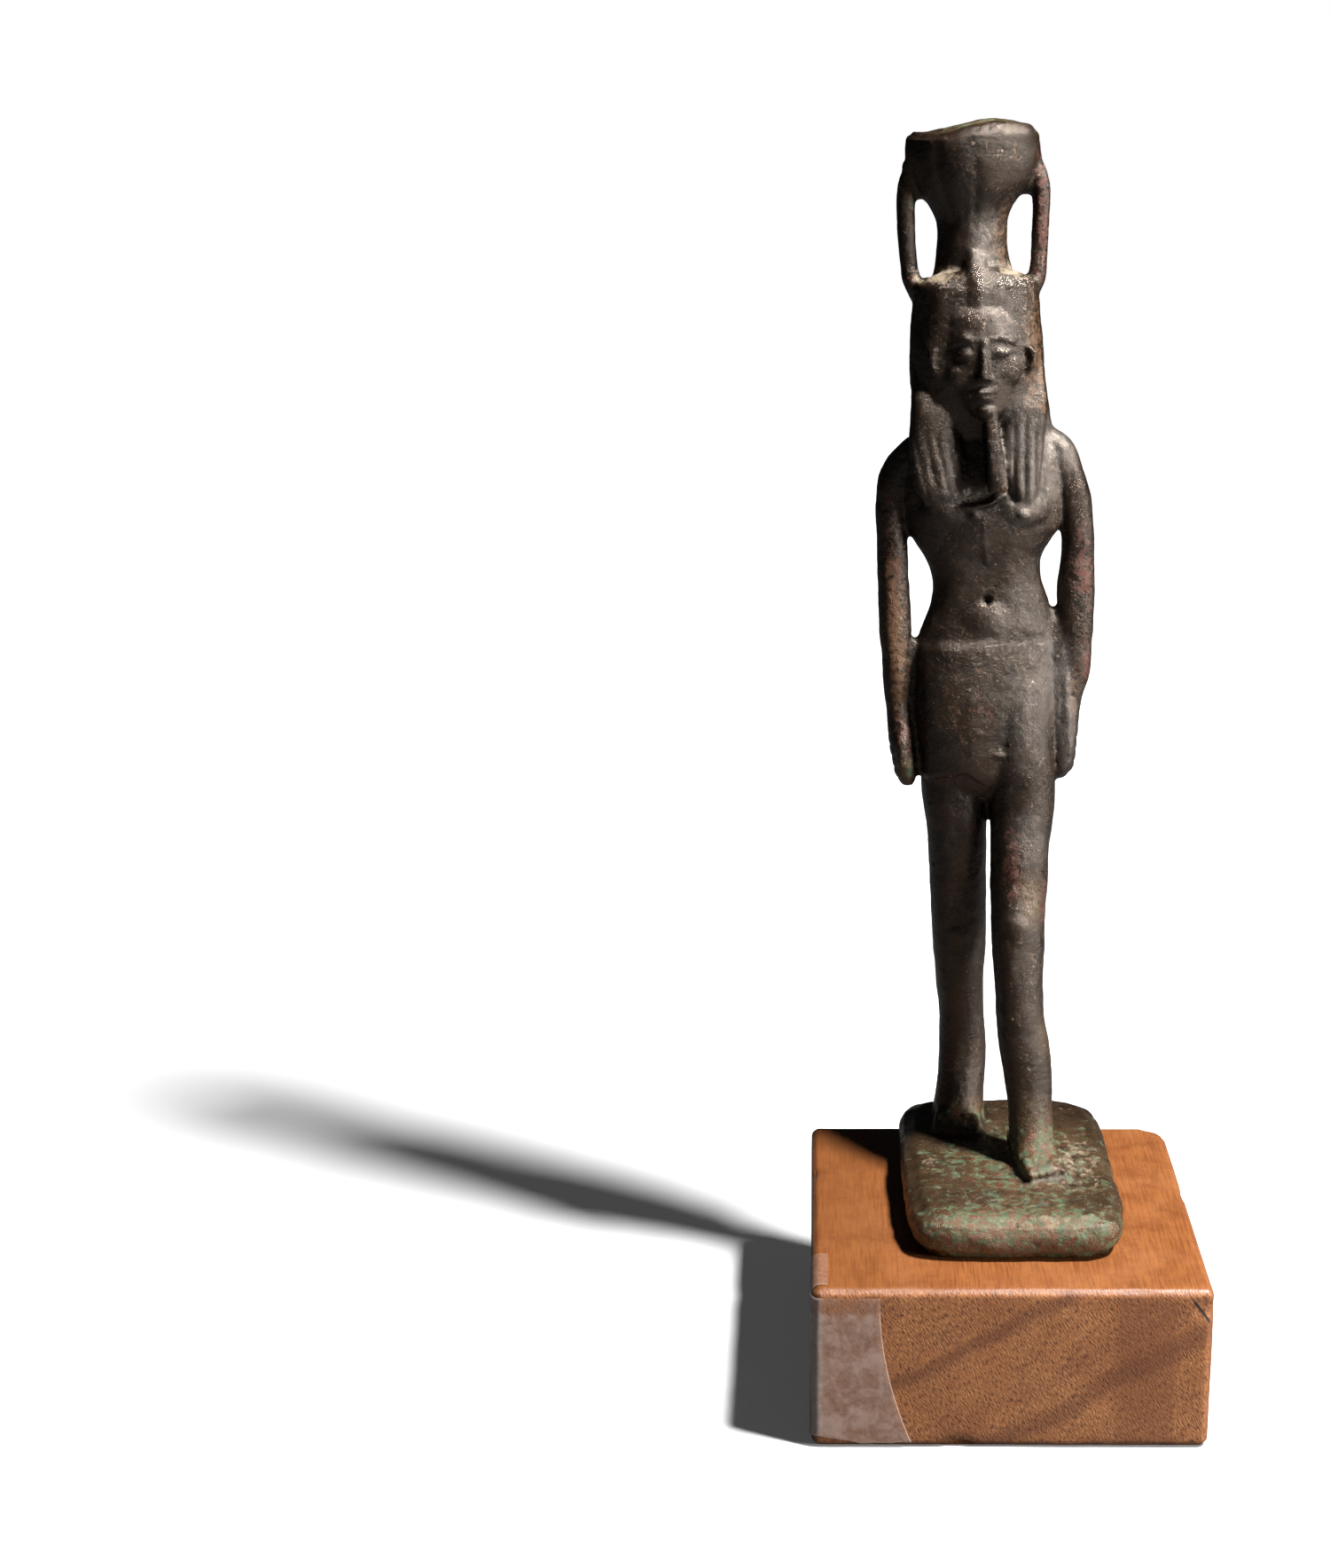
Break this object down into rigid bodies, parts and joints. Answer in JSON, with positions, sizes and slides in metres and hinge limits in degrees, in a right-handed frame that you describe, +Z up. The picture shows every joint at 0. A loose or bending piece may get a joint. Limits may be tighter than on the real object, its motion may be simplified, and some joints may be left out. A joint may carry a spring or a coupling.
{
  "type": "bronze figurine on a wooden block",
  "caption": "Small cast-bronze striding god, Nefertum, with a lotus crown that has lost its plumes, cast in one with its plinth and set on a wooden block.",
  "frame": {"origin": "centre of the wooden block's underside, on the surface it stands on", "axes": "+Z up, the figure faces -Y, its left side is at +X"},
  "size_m": [0.0463, 0.0477, 0.1482],
  "materials": {
    "bronze": "solid cast bronze, dark brown with a worn sheen, red-brown and green corrosion and pale earth in the hollows",
    "wood": "orange-brown hardwood, varnished, with worn round edges",
    "tape": "thin clear film, slightly grey"
  },
  "bodies": {
    "root": {"nefertum_figure": "bronze", "wood_block": "wood", "tape_strip": "tape"}
  },
  "joints": []
}
